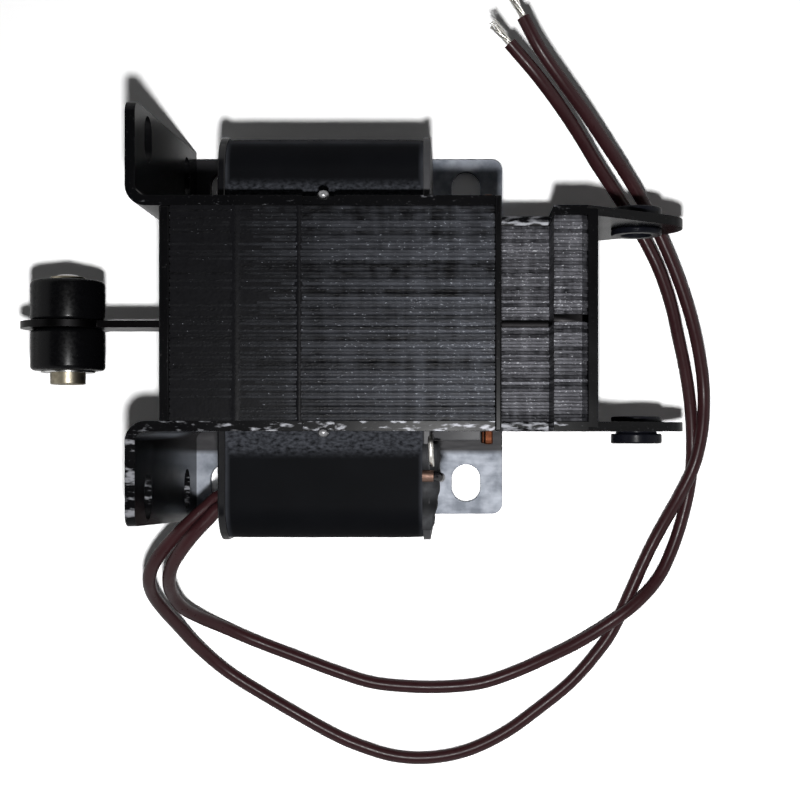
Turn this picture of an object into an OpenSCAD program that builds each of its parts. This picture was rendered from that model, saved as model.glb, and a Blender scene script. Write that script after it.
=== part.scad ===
// Push pull solenoid: a laminated AC frame with a T-shaped laminated plunger.
// +X runs along the stroke towards the clevis (pull) end, +Y across the laminations and +Z up.
// The origin is the centre of the base plate's underside.

/* [Base plate] */
// Length of the base plate along the stroke
base_length = 60.6; // [56:0.2:90]
// Width of the base plate
base_width = 68.4; // [66:0.2:90]
// Thickness of the base plate
base_t = 1.6; // [1.2:0.1:3]
// Radius of the base plate's corners
base_corner_r = 2; // [0.5:0.5:2.5]
// Distance between the slot rows along the stroke
slot_pitch_x = 46.6; // [40:0.2:50]
// Distance between the slots across the plate
slot_pitch_y = 56.5; // [54:0.1:58]
// Width of each slot
slot_w = 5.5; // [4:0.1:6]
// Overall length of each slot, across the plate
slot_l = 7.2; // [6.5:0.1:9]
// Diameter of the screws that hold the base plate
base_screw_d = 3; // [2:0.1:4]

/* [Yoke] */
// Length of the laminations along the stroke
yoke_length = 50.7; // [48:0.1:53]
// Distance from the base plate's centre to the laminations' centre
yoke_shift = 1.95; // [1.5:0.05:2.5]
// Height of the laminations
yoke_height = 52.4; // [50:0.2:60]
// Width of the whole lamination stack
stack_w = 33.5; // [28:0.5:36]
// Height of the limbs above and below the coil window
limb_h = 8.5; // [7:0.1:9]
// Length of the back wall that carries the fixed core
back_wall = 5.8; // [4:0.1:7]
// Length of the pole wall that the plunger passes through
pole_length = 10; // [8:0.5:12]
// Length of the fixed core inside the coil
core_length = 5.6; // [3:0.1:8]
// Half height of the opening through the pole wall
pole_opening = 6.6; // [6.6:0.1:7.2]
// Thickness of the stop plate at the push end
stop_t = 1.6; // [1:0.1:2.5]
// Thickness of the plates over the pole faces
pole_plate_t = 1; // [0.5:0.1:1.5]
// Diameter of the rivets through the laminations
rivet_d = 3; // [2:0.1:3.2]

/* [Side plates] */
// Thickness of the side plates
side_t = 1.6; // [1.2:0.1:2]
// Half width across the mounting flanges at their top
flange_top_y = 33.2; // [32.5:0.1:36]
// Half width across the mounting flanges at their foot
flange_foot_y = 35.4; // [32.5:0.1:38]
// Inner radius of the bend into each flange
bend_r = 1.6; // [0.5:0.1:3]
// Radius of the flange's top corner
flange_corner_r = 2; // [0.5:0.5:3]
// Distance between the two flanges' slots, across
flange_slot_pitch_y = 58; // [54:0.5:60]
// Distance between the upper and lower flange slots
flange_slot_pitch_z = 33.2; // [28:0.2:38]
// Length of each flange slot, across
flange_slot_l = 7.4; // [6:0.1:8.5]
// Width of the notch in the side plates' long edges
notch_w = 5; // [2:0.5:8]
// Depth of the notch in the side plates' long edges
notch_depth = 1.2; // [0.5:0.1:2]

/* [Shading rings] */
// Square section of the copper rings
ring_section = 1.4; // [1:0.1:1.6]
// Distance from the plunger's axis to the ring's near leg
ring_near = 8.5; // [8:0.1:9]
// Distance from the plunger's axis to the ring's far leg
ring_far = 13.1; // [12:0.1:15]
// How far a ring's ends stand out of the side plates
ring_overhang = 2.15; // [1.8:0.05:2.6]

/* [Coil and bobbin] */
// Thickness of the padding over the lead joints, on the front of the winding
joint_pad_t = 5.9; // [3:0.1:7]
// Radius of the taped coil's corners
coil_r = 6; // [3:0.5:8]
// Thickness of the tape wrap
tape_t = 0.7; // [0.4:0.1:1.5]
// Thickness of the bobbin's end flanges
bobbin_flange_t = 1.2; // [0.8:0.1:1.6]
// How far the bobbin's flanges stand out of the tape
flange_proud = 0.3; // [0:0.1:0.8]
// Wall of the guide tube
tube_wall = 1.2; // [0.8:0.05:1.25]
// How far the guide tube stops short of the pole face
tube_setback = 1.8; // [1.5:0.1:4]

/* [Plunger] */
// Height of the stem
stem_height = 10; // [9.6:0.1:10.2]
// How far the T head stops short of the laminations' top and underside
head_margin = 9.2; // [7.2:0.1:11.2]
// Length of the T head
head_length = 5.6; // [5:0.1:8]
// Travel from rest towards the coil
pull_travel = 8.7; // [6:0.1:9]
// Travel from rest away from the coil
push_travel = 14.6; // [10:0.1:15]
// Thickness of the push bar
bar_t = 1.2; // [0.8:0.1:1.6]
// Radius of the push bar's eye
eye_r = 8; // [7:0.1:8.2]
// Thickness of the clevis plates
clevis_t = 1.6; // [1.2:0.1:2]
// Radius of the clevis ears
ear_r = 8; // [6:0.1:10]
// Distance from the cross plates to the clevis pin's axis
ear_reach = 8.4; // [7:0.1:12]
// Bore of the ear bushes
bush_bore = 5.2; // [3:0.1:6]
// Diameter of the bushes where they pass through the ears
bush_neck_d = 7; // [6.4:0.1:8]
// Diameter of the bushes' flanges
bush_flange_d = 8.8; // [8.2:0.1:11]
// Thickness of the bushes' outer flanges
bush_outer_t = 1.7; // [1:0.1:2.5]
// Thickness of the bushes' inner flanges
bush_inner_t = 1; // [0.5:0.1:1.5]

/* [Bumper] */
// Diameter of the rubber rollers
bumper_d = 12.7; // [12.7:0.1:14]
// Width of each rubber roller
bumper_w = 7.2; // [4:0.1:9]
// Diameter of the pin through the rollers
bumper_pin_d = 6; // [4:0.1:7]
// How far the pin stands out of the front roller
pin_front = 2.4; // [0.5:0.1:3]
// How far the pin stands out of the back roller
pin_back = 1.2; // [0.5:0.1:3]

/* [Leads] */
// Diameter of the insulated leads
lead_d = 2.4; // [2.2:0.1:2.4]
// Diameter of the bare strands at each lead's end
strand_d = 1.2; // [0.8:0.1:1.6]
// Length of the bare strands
strand_length = 5; // [3:0.5:8]

/* [Hidden] */
$fn = 64;
lead_sides = 8;
slack = 0.05;
coil_gap = 1;
pad_lap = 4.3;
bobbin_gap = 0.2;
guide_gap = 0.3;
side_guide_gap = 0.4;
bar_gap = 0.25;
head_seat_gap = 0.1;
stem_seat_gap = 0.4;
stop_gap = 0.35;
bush_neck_gap = 0.4;
head_chamfer = 1;
cut = 1;

axis_z = base_t + yoke_height / 2;
yoke_top = base_t + yoke_height;
yoke_x0 = yoke_shift - yoke_length / 2;
yoke_x1 = yoke_shift + yoke_length / 2;
window_x0 = yoke_x0 + back_wall;
window_x1 = yoke_x1 - pole_length;
window_half = yoke_height / 2 - limb_h;
core_x1 = window_x0 + core_length;
half_stack = stack_w / 2;
side_y = half_stack + side_t;
flange_x0 = -base_length / 2;
stop_x0 = yoke_x0 - stop_t;
pole_face_x = yoke_x1 + pole_plate_t;

stem_half = stem_height / 2;
centre_half = bar_t / 2 + bar_gap;
channel_half = stem_half + guide_gap;
plunger_half = half_stack + clevis_t;
stem_x0 = core_x1 + pull_travel + stem_seat_gap;
head_x0 = pole_face_x + pull_travel + head_seat_gap;
head_x1 = head_x0 + head_length;
cross_x1 = head_x1 + clevis_t;
head_half = yoke_height / 2 - head_margin;
clevis_x = cross_x1 + ear_reach;
eye_x = stop_x0 - push_travel - stop_gap - bumper_d / 2;

bobbin_x0 = window_x0 + bobbin_gap;
bobbin_x1 = window_x1 - bobbin_gap;
coil_x0 = bobbin_x0 + bobbin_flange_t;
coil_x1 = bobbin_x1 - bobbin_flange_t;
tube_half_z = channel_half + tube_wall;
tube_inner_y = plunger_half + side_guide_gap;
tube_half_y = tube_inner_y + tube_wall;
tube_x1 = yoke_x1 - tube_setback;
coil_half = window_half - coil_gap;
winding_t = coil_half - tape_t - tube_half_z;
coil_half_y = tube_half_y + winding_t + tape_t;
pad_y1 = pad_lap - coil_half_y;

base_screw_spread_x = 15;
base_screw_spread_y = 9;
base_screw_depth = 3.4;
base_screw_clearance = 0.2;
base_screw_head_d = 5.4;
base_screw_cone = 1.2;
pole_rivet_x = yoke_x1 - pole_length / 2;
pole_rivet_z = 19.5;
limb_rivet_x = window_x0;
limb_rivet_z = window_half + limb_h / 2;
head_rivet_x = (head_x0 + head_x1) / 2;
head_rivet_z = 12;
stem_rivet_shift = 5;
stem_rivet_x = (stem_x0 + window_x1) / 2 + stem_rivet_shift;

lead_slot_y0 = -27.6;
lead_slot_z0 = 25.2;
lead_slot_z1 = 30.1;
lead_x0 = coil_x0;

// Centre line of the inner lead, from the coil's end to the end of its insulation
inner_route = [
    [lead_x0, -31.3, 28.7], [-19.9, -31.8, 28.7], [-21.6, -33.4, 28.6], [-24.1, -36, 28.4],
    [-26.6, -39, 27.5], [-28.8, -42.2, 25.2], [-30.1, -45.4, 21], [-30.3, -48.4, 16],
    [-29.2, -51.3, 11.5], [-26.8, -53.6, 7], [-23, -56, 3.2], [-17, -58.9, 1.4],
    [-10, -61.6, 1.2], [-2, -64.6, 1.2], [5, -66.8, 1.2], [12, -67.6, 1.2],
    [19, -67.7, 1.2], [26, -67, 1.2], [32.5, -64.9, 1.2], [39, -61.9, 1.9],
    [45, -58.7, 3.1], [51.5, -54.5, 4], [56.6, -50.6, 3.4], [60.6, -46.2, 1.8],
    [63.4, -40.4, 1.2], [65.4, -34, 1.2], [66.7, -27.5, 1.2], [67, -20.5, 1.4],
    [66.5, -13.5, 2.3], [65.3, -6.8, 3.7], [63.7, -0.5, 5.3], [61.9, 6, 7.1],
    [59.2, 12.8, 8.7], [55.6, 19.4, 9.6], [51.6, 25.4, 10.7], [47.5, 30.8, 13.1],
    [43.7, 35.8, 16.6], [39.9, 40.4, 19.9], [35.6, 45.2, 22.7], [30.8, 50.4, 24]];

// Centre line of the outer lead
outer_route = [
    [lead_x0, -29.1, 26.6], [-20, -29.7, 26.6], [-22.4, -31.6, 26.4], [-25.4, -34.3, 26.4],
    [-28.8, -37.7, 26.1], [-31.7, -41.2, 25], [-33.4, -44.4, 22], [-33.9, -47.6, 17.4],
    [-33, -50.9, 12.9], [-31, -54.8, 8.2], [-28.4, -59, 4.2], [-24, -63.6, 1.8],
    [-18, -67.8, 1.2], [-4, -75.9, 1.2], [3, -79.1, 1.2], [10, -81.1, 1.2],
    [17, -81.3, 1.2], [24, -79.8, 1.2], [31, -76.4, 1.2], [37.5, -71.7, 1.2],
    [43.5, -66.8, 1.2], [48.4, -61.3, 1.2], [52.2, -55.6, 1.2], [58, -42.8, 1.2],
    [61, -36.8, 1.7], [64.2, -30.8, 3.1], [67, -24.6, 4], [68.5, -17.8, 4],
    [68.8, -10.8, 3.8], [67.8, -4, 5], [66, 2.8, 6.6], [63.5, 9.8, 8],
    [60.4, 16.8, 9.2], [56.9, 23.4, 10.3], [52.9, 29.2, 12.5], [48.6, 34.6, 15.6],
    [44.3, 39.8, 18.8], [40.1, 44.6, 21.5], [36.2, 49.6, 23.3], [33.2, 55, 24]];

// ---- shared shapes ----

// A box from two opposite corners
module span(low, high) {
    translate(low) cube(high - low);
}

// A rectangle with rounded corners, centred
module rounded_rect(w, h, r) {
    square([w - 2 * r, h], center = true);
    square([w, h - 2 * r], center = true);
    for (sx = [-1, 1], sy = [-1, 1])
        translate([sx * (w / 2 - r), sy * (h / 2 - r)]) circle(r);
}

// A slot centred on the origin: length along X, width along Y
module slot_2d(length, width) {
    square([length - width, width], center = true);
    for (end = [-1, 1]) translate([end * (length - width) / 2, 0]) circle(d = width);
}

// Lays an outline drawn in X and Z (measured from the plunger's axis) across Y
module across(y0, y1) {
    translate([0, y1, axis_z]) rotate([90, 0, 0]) linear_extrude(y1 - y0) children();
}

// Lays an outline drawn in Y and Z (measured from the plunger's axis) along X
module along(x0, x1) {
    translate([x0, 0, axis_z]) rotate([90, 0, 90]) linear_extrude(x1 - x0) children();
}

// A round pin across Y
module cross_pin(x, z, d, y0, y1) {
    translate([x, y0, axis_z + z]) rotate([-90, 0, 0]) cylinder(h = y1 - y0, d = d);
}

// Unit vector
function unit(v) = v / norm(v);

// Direction of a route at point i
function heading(route, i) =
    unit(route[min(i + 1, len(route) - 1)] - route[max(i - 1, 0)]);

// The ring of corners around a route at point i; the first ring faces along X
function ring(route, i, r) =
    let (ahead = i == 0 ? [-1, 0, 0] : heading(route, i),
         side = unit(cross(ahead, [0, 0, 1])),
         up = cross(side, ahead))
    [for (k = [0:lead_sides - 1])
        route[i] + r * (cos(k * 360 / lead_sides) * side + sin(k * 360 / lead_sides) * up)];

// A plain tube of even size along a route
module tube_along(route, r) {
    last = len(route) - 1;
    points = [for (i = [0:last]) each ring(route, i, r)];
    walls = [for (i = [0:last - 1], k = [0:lead_sides - 1])
        let (a = i * lead_sides + k, b = i * lead_sides + (k + 1) % lead_sides)
        each [[a, b, b + lead_sides], [a, b + lead_sides, a + lead_sides]]];
    first_cap = [for (k = [lead_sides - 1:-1:0]) k];
    last_cap = [for (k = [0:lead_sides - 1]) last * lead_sides + k];
    polyhedron(points, concat([first_cap], walls, [last_cap]), convexity = 10);
}

// ---- outlines ----

// Lamination outline: the window and the opening through the pole wall are cut out
module yoke_outline() {
    half = yoke_height / 2;
    difference() {
        translate([yoke_x0, -half]) square([yoke_length, yoke_height]);
        translate([window_x0, -window_half]) square([window_x1 - window_x0, 2 * window_half]);
        translate([window_x1 - cut, -pole_opening])
            square([pole_length + 2 * cut, 2 * pole_opening]);
    }
}

// Stem and T head, from the stem's inner end to the head's outer face
module plunger_outline() {
    translate([stem_x0, -stem_half]) square([head_x0 - stem_x0 + cut, stem_height]);
    polygon([
        [head_x0, -head_half], [head_x1 - head_chamfer, -head_half],
        [head_x1, -head_half + head_chamfer], [head_x1, head_half - head_chamfer],
        [head_x1 - head_chamfer, head_half], [head_x0, head_half]]);
}

// One ear: straight edges from the head's corners, tangent to the round tip
module ear_outline() {
    span_x = ear_reach + clevis_t;
    far = norm([span_x, head_half]);
    turn = atan2(head_half, -span_x) - acos(ear_r / far);
    tip = [clevis_x + ear_r * cos(turn), ear_r * sin(turn)];
    polygon([[head_x1 - cut, -head_half], [head_x1, -head_half], [tip[0], -tip[1]],
        [tip[0], tip[1]], [head_x1, head_half], [head_x1 - cut, head_half]]);
    translate([clevis_x, 0]) circle(ear_r);
}

// The taped coil's outline in Y and Z, made smaller by inset, with the front moved out by pad
module coil_outline(inset, pad) {
    translate([-pad / 2, 0])
        rounded_rect(2 * (coil_half_y - inset) + pad, 2 * (coil_half - inset), coil_r - inset);
}

// Places where rivets cross the yoke, as [x, height from the plunger's axis]
yoke_rivets = [
    [pole_rivet_x, pole_rivet_z], [pole_rivet_x, -pole_rivet_z],
    [limb_rivet_x, limb_rivet_z], [limb_rivet_x, -limb_rivet_z]];

// Places where rivets cross the plunger
plunger_rivets = [
    [head_rivet_x, head_rivet_z], [head_rivet_x, -head_rivet_z], [stem_rivet_x, 0]];

// Places of the base plate's screws
base_screws = [for (sx = [-1, 1], sy = [-1, 1])
    [yoke_shift + sx * base_screw_spread_x, sy * base_screw_spread_y]];

module yoke_rivet_holes() {
    for (at = yoke_rivets)
        cross_pin(at[0], at[1], rivet_d + 2 * slack, -side_y - cut, side_y + cut);
}

module plunger_rivet_holes() {
    for (at = plunger_rivets)
        cross_pin(at[0], at[1], rivet_d + 2 * slack, -plunger_half - cut, plunger_half + cut);
}

// Grooves in the pole faces for the legs of both shading rings
module ring_grooves() {
    for (side = [-1, 1], near = [ring_near, ring_far])
        translate([yoke_x1 - ring_section - slack, -side_y - cut,
            axis_z + side * (near + ring_section / 2) - ring_section / 2 - slack])
            cube([ring_section + cut, 2 * (side_y + cut), ring_section + 2 * slack]);
}

// A countersunk screw standing on its head
module screw(extra, depth) {
    cylinder(h = base_screw_cone, d1 = base_screw_head_d + 2 * extra,
        d2 = base_screw_d + 2 * extra);
    cylinder(h = base_t + depth, d = base_screw_d + 2 * extra);
}

module base_screw_holes() {
    for (at = base_screws) translate([at[0], at[1], 0]) screw(slack, base_screw_depth + base_screw_clearance);
}

// ---- frame ----

module base_plate() {
    color("#b9bdc4") difference() {
        linear_extrude(base_t) difference() {
            rounded_rect(base_length, base_width, base_corner_r);
            for (sx = [-1, 1], sy = [-1, 1])
                translate([sx * slot_pitch_x / 2, sy * slot_pitch_y / 2])
                    rotate(90) slot_2d(slot_l, slot_w);
        }
        base_screw_holes();
    }
}

module base_screw(i) {
    at = base_screws[i];
    color("#9a9ca0") translate([at[0], at[1], 0]) screw(0, base_screw_depth);
}

// One half of the laminations with its half of the fixed core, on the side given by +1 or -1
module yoke_stack(side) {
    y0 = side > 0 ? centre_half : -half_stack;
    y1 = side > 0 ? half_stack : -centre_half;
    color("#4a4a4e") difference() {
        union() {
            across(y0, y1) yoke_outline();
            across(y0, y1) translate([window_x0 - cut, -stem_half])
                square([core_length + cut, stem_height]);
        }
        yoke_rivet_holes();
        ring_grooves();
        base_screw_holes();
    }
}

// The lamination beside the push bar, cut back to leave the bar a channel
module centre_plate(side) {
    color("#4a4a4e") difference() {
        across(-centre_half, centre_half) intersection() {
            yoke_outline();
            translate([yoke_x0, side > 0 ? channel_half : -yoke_height])
                square([yoke_length, yoke_height - channel_half]);
        }
        yoke_rivet_holes();
        ring_grooves();
    }
}

module stop_plate() {
    color("#222224") difference() {
        span([stop_x0, -half_stack, base_t], [yoke_x0, half_stack, yoke_top]);
        span([stop_x0 - cut, -centre_half, axis_z - channel_half],
            [yoke_x0 + cut, centre_half, axis_z + channel_half]);
    }
}

module pole_plate(side) {
    z0 = side > 0 ? axis_z + pole_opening : base_t;
    z1 = side > 0 ? yoke_top : axis_z - pole_opening;
    color("#222224") span([yoke_x1, -side_y, z0], [pole_face_x, side_y, z1]);
}

module shading_ring(side) {
    out = side_y + ring_overhang;
    low = ring_near;
    high = ring_far + ring_section;
    color("#a8623c") along(yoke_x1 - ring_section, yoke_x1)
        scale([1, side]) difference() {
            translate([-out, low]) square([2 * out, high - low]);
            translate([ring_section - out, low + ring_section])
                square([2 * (out - ring_section), high - low - 2 * ring_section]);
        }
}

module yoke_rivet(i) {
    color("#8a8a8c") cross_pin(yoke_rivets[i][0], yoke_rivets[i][1], rivet_d, -side_y, side_y);
}

// Plan of one side plate: the leg beside the laminations, the bend and the flange
module side_plate_plan() {
    outer_r = bend_r + side_t;
    translate([flange_x0 + outer_r, half_stack]) square([yoke_x1 - flange_x0 - outer_r, side_t]);
    translate([flange_x0, half_stack + outer_r]) square([side_t, flange_foot_y]);
    translate([flange_x0 + outer_r, half_stack + outer_r]) intersection() {
        difference() {
            circle(outer_r);
            circle(bend_r);
        }
        translate([-outer_r, -outer_r]) square(outer_r);
    }
}

// Face of one flange, in Y and Z from the plunger's axis: it narrows towards its top
module flange_face() {
    half = yoke_height / 2;
    r = flange_corner_r;
    slope = (flange_foot_y - flange_top_y) / yoke_height;
    polygon([[0, -half], [flange_foot_y, -half], [flange_top_y + slope * r, half - r],
        [flange_top_y - r, half - r], [flange_top_y - r, half], [0, half]]);
    intersection() {
        translate([flange_top_y - r, half - r]) circle(r);
        translate([flange_top_y - r, half - r]) square(r);
    }
}

// A side plate: side +1 is the back one, -1 the front one
module side_plate(side) {
    half = yoke_height / 2;
    color("#1e1e21") scale([1, side, 1]) difference() {
        intersection() {
            translate([0, 0, base_t]) linear_extrude(yoke_height) side_plate_plan();
            union() {
                along(flange_x0 - cut, flange_x0 + side_t) flange_face();
                span([flange_x0 - cut, 0, base_t], [yoke_x1 + cut, side_y + bend_r, yoke_top]);
            }
        }
        across(half_stack - cut, side_y + bend_r + cut) {
            translate([window_x0, -window_half])
                square([window_x1 - window_x0, 2 * window_half]);
            translate([window_x1 - cut, -pole_opening])
                square([pole_length + 2 * cut, 2 * pole_opening]);
            for (end = [-1, 1])
                translate([(window_x0 + window_x1) / 2, end * half])
                    square([notch_w, 2 * notch_depth], center = true);
        }
        along(flange_x0 - cut, flange_x0 + side_t + cut) for (end = [-1, 1])
            translate([flange_slot_pitch_y / 2, end * flange_slot_pitch_z / 2])
                slot_2d(flange_slot_l, slot_w);
        yoke_rivet_holes();
        ring_grooves();
    }
}

// ---- coil ----

module bobbin() {
    front = coil_half_y + joint_pad_t + flange_proud;
    color("#3a3a3e") difference() {
        union() {
            along(bobbin_x0, tube_x1) square([2 * tube_half_y, 2 * tube_half_z], center = true);
            for (x = [bobbin_x0, coil_x1])
                along(x, x + bobbin_flange_t) coil_outline(-flange_proud, joint_pad_t);
        }
        along(bobbin_x0 - cut, tube_x1 + cut)
            square([2 * tube_inner_y, 2 * channel_half], center = true);
        span([bobbin_x0 - cut, -front - cut, lead_slot_z0], [coil_x0, lead_slot_y0, lead_slot_z1]);
    }
}

module coil_winding() {
    color("#8a4a2c") along(coil_x0, coil_x1) difference() {
        coil_outline(tape_t, 0);
        square([2 * tube_half_y, 2 * tube_half_z], center = true);
    }
}

// Padding between the front of the winding and the tape, over the joints of the leads
module joint_pad() {
    color("#33322f") along(coil_x0, coil_x1) difference() {
        intersection() {
            coil_outline(tape_t, joint_pad_t);
            translate([pad_y1 - coil_half_y, -coil_half]) square([coil_half_y, 2 * coil_half]);
        }
        coil_outline(tape_t, 0);
    }
}

module coil_tape() {
    color("#141416") along(coil_x0, coil_x1) difference() {
        coil_outline(0, joint_pad_t);
        coil_outline(tape_t, joint_pad_t);
    }
}

// ---- plunger ----

module plunger_stack(side) {
    y0 = side > 0 ? bar_t / 2 : -half_stack;
    y1 = side > 0 ? half_stack : -bar_t / 2;
    color("#9a9a9e") difference() {
        across(y0, y1) plunger_outline();
        plunger_rivet_holes();
    }
}

module push_bar() {
    color("#8e8e92") difference() {
        across(-bar_t / 2, bar_t / 2) {
            plunger_outline();
            translate([eye_x, -stem_half]) square([stem_x0 - eye_x + cut, stem_height]);
            translate([eye_x, 0]) circle(eye_r);
        }
        cross_pin(eye_x, 0, bumper_pin_d + 2 * slack, -bar_t, bar_t);
        plunger_rivet_holes();
    }
}

// A clevis plate: stem, head and ear in one, with a cross plate turned in behind the head
module clevis_plate(side) {
    color("#1e1e21") scale([1, side, 1]) difference() {
        union() {
            across(half_stack, plunger_half) {
                plunger_outline();
                ear_outline();
            }
            span([head_x1, 0, axis_z - head_half],
                [cross_x1, half_stack + cut, axis_z + head_half]);
        }
        cross_pin(clevis_x, 0, bush_neck_d + 2 * slack, half_stack - cut, plunger_half + cut);
        plunger_rivet_holes();
    }
}

module ear_bush(side) {
    neck_y1 = plunger_half + bush_neck_gap;
    color("#202024") scale([1, side, 1]) difference() {
        union() {
            cross_pin(clevis_x, 0, bush_flange_d, half_stack - bush_inner_t, half_stack);
            cross_pin(clevis_x, 0, bush_neck_d, half_stack, neck_y1);
            cross_pin(clevis_x, 0, bush_flange_d, neck_y1, neck_y1 + bush_outer_t);
        }
        cross_pin(clevis_x, 0, bush_bore, half_stack - bush_inner_t - cut,
            neck_y1 + bush_outer_t + cut);
    }
}

module plunger_rivet(i) {
    at = plunger_rivets[i];
    color("#a0a0a4") cross_pin(at[0], at[1], rivet_d, -plunger_half, plunger_half);
}

module bumper_rubber(side) {
    color("#2c2c2e") scale([1, side, 1]) difference() {
        cross_pin(eye_x, 0, bumper_d, bar_t / 2, bar_t / 2 + bumper_w);
        cross_pin(eye_x, 0, bumper_pin_d + 2 * slack, 0, bar_t / 2 + bumper_w + cut);
    }
}

module bumper_pin() {
    out = bar_t / 2 + bumper_w;
    color("#b08d4c") cross_pin(eye_x, 0, bumper_pin_d, -out - pin_front, out + pin_back);
}

// ---- leads ----

module lead(route) {
    color("#3c2325") tube_along(route, lead_d / 2);
}

// The bare strands carry straight on from the end of the insulation
module strands(route) {
    last = len(route) - 1;
    color("#b8b8ba") translate(route[last]) turned_to(heading(route, last))
        cylinder(h = strand_length, d = strand_d);
}

// Turns +Z to a direction
module turned_to(v) {
    rotate([0, acos(v[2] / norm(v)), atan2(v[1], v[0])]) children();
}

base_plate();
for (i = [0:3]) base_screw(i);
side_plate(1);  // side_plate_back
side_plate(-1);  // side_plate_front
yoke_stack(1);  // yoke_stack_back
yoke_stack(-1);  // yoke_stack_front
centre_plate(1);  // centre_plate_upper
centre_plate(-1);  // centre_plate_lower
stop_plate();
pole_plate(1);  // pole_plate_upper
pole_plate(-1);  // pole_plate_lower
shading_ring(1);  // shading_ring_upper
shading_ring(-1);  // shading_ring_lower
for (i = [0:3]) yoke_rivet(i);
bobbin();
coil_winding();
joint_pad();
coil_tape();
plunger_stack(1);  // plunger_stack_back
plunger_stack(-1);  // plunger_stack_front
push_bar();
clevis_plate(1);  // clevis_plate_back
clevis_plate(-1);  // clevis_plate_front
ear_bush(1);  // ear_bush_back
ear_bush(-1);  // ear_bush_front
for (i = [0:2]) plunger_rivet(i);
bumper_rubber(1);  // bumper_rubber_back
bumper_rubber(-1);  // bumper_rubber_front
bumper_pin();
lead(inner_route);  // lead_inner
lead(outer_route);  // lead_outer
strands(inner_route);  // strands_inner
strands(outer_route);  // strands_outer
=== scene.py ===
"""Push pull solenoid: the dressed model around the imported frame.

The laminations and the varnish on them, the coil wrap, the lead joint, the rollers and their pin, and the
leads and their strands are modelled here. The sheet metal and the mouldings are the frame's own shapes with
softened edges.
"""
import math

import bmesh
import bpy
import numpy as np
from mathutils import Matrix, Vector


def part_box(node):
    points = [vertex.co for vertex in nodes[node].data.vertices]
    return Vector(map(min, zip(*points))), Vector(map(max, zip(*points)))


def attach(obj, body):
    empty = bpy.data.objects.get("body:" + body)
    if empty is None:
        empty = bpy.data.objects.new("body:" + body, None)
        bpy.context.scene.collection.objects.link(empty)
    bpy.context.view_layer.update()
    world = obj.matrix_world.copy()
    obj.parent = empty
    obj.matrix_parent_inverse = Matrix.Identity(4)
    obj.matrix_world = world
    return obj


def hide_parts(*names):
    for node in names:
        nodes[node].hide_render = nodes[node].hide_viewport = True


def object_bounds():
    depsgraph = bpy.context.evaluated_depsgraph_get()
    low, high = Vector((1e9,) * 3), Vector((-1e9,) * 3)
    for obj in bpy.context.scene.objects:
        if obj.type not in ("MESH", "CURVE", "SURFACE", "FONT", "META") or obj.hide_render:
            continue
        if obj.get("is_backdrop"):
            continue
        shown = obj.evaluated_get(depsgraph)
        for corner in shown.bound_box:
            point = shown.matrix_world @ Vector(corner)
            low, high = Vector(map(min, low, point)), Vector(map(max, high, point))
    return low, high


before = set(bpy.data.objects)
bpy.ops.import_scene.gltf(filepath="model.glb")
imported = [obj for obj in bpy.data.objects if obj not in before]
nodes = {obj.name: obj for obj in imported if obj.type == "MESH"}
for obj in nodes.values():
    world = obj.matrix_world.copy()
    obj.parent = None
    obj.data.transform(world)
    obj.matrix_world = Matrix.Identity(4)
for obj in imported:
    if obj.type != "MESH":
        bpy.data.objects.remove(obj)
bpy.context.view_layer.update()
MM = 0.001  # metres in a millimetre
rng = np.random.default_rng(7)  # for the sheets' play and shade, and for the strands' lengths


def node_box(name):
    """A frame node's lowest and highest corners, in millimetres."""
    low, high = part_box(name)
    return np.array(low) / MM, np.array(high) / MM


# Places that the pieces share, in millimetres, read from the frame's nodes
yoke_low, yoke_high = node_box("yoke_stack_back")
plunger_low, plunger_high = node_box("plunger_stack_back")
tape_low, tape_high = node_box("coil_tape")
bobbin_low, bobbin_high = node_box("bobbin")
roller_low, roller_high = node_box("bumper_rubber_back")
pin_low, pin_high = node_box("bumper_pin")
opening_low, pole_high = node_box("pole_plate_upper")
ring_low, ring_high = node_box("shading_ring_upper")
side_low, side_high = node_box("side_plate_front")
AXIS_Z = (yoke_low[2] + yoke_high[2]) / 2  # height of the plunger's axis

# ---- camera ----


LENS_HEIGHT = 270
LENS_PLACE = (20.6, -18.8)


def make_camera():
    """A camera straight above, looking down, with the object a little left of the lens axis."""
    data = bpy.data.cameras.new("camera")
    data.sensor_width = 36
    data.lens = 62.55
    data.shift_x = -0.065
    data.shift_y = 0.0425
    data.clip_start = 0.01
    camera = bpy.data.objects.new("camera", data)
    camera.location = np.array([*LENS_PLACE, LENS_HEIGHT]) * MM
    bpy.context.scene.collection.objects.link(camera)
    bpy.context.scene.camera = camera


make_camera()

# ---- shader helpers ----


def colour(code):
    """An sRGB hex colour as linear RGBA."""
    parts = [int(code[i : i + 2], 16) / 255 for i in (1, 3, 5)]
    linear = [c / 12.92 if c <= 0.04045 else ((c + 0.055) / 1.055) ** 2.4 for c in parts]
    return (*linear, 1)


def grain(size_mm, *stretch):
    """Pattern scale for grains size_mm across. Three stretches draw them out along X, Y and Z."""
    return tuple(1 / (size_mm * MM * s) for s in stretch) if stretch else 1 / (size_mm * MM)


def add(tree, kind, inputs=None, **settings):
    """Adds a shader node with its settings and links.

    An input is found by its name or its number. It takes a value, an output, or a node's first live output.
    """
    item = tree.nodes.new("ShaderNode" + kind)
    for key, value in settings.items():
        setattr(item, key, value)
    for key, value in (inputs or {}).items():
        named = (s for s in item.inputs if s.enabled and s.name == key)
        socket = item.inputs[key] if isinstance(key, int) else next(named)
        if isinstance(value, bpy.types.Node):
            value = next(s for s in value.outputs if s.enabled)
        if isinstance(value, bpy.types.NodeSocket):
            tree.links.new(value, socket)
        else:
            socket.default_value = value
    return item


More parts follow.
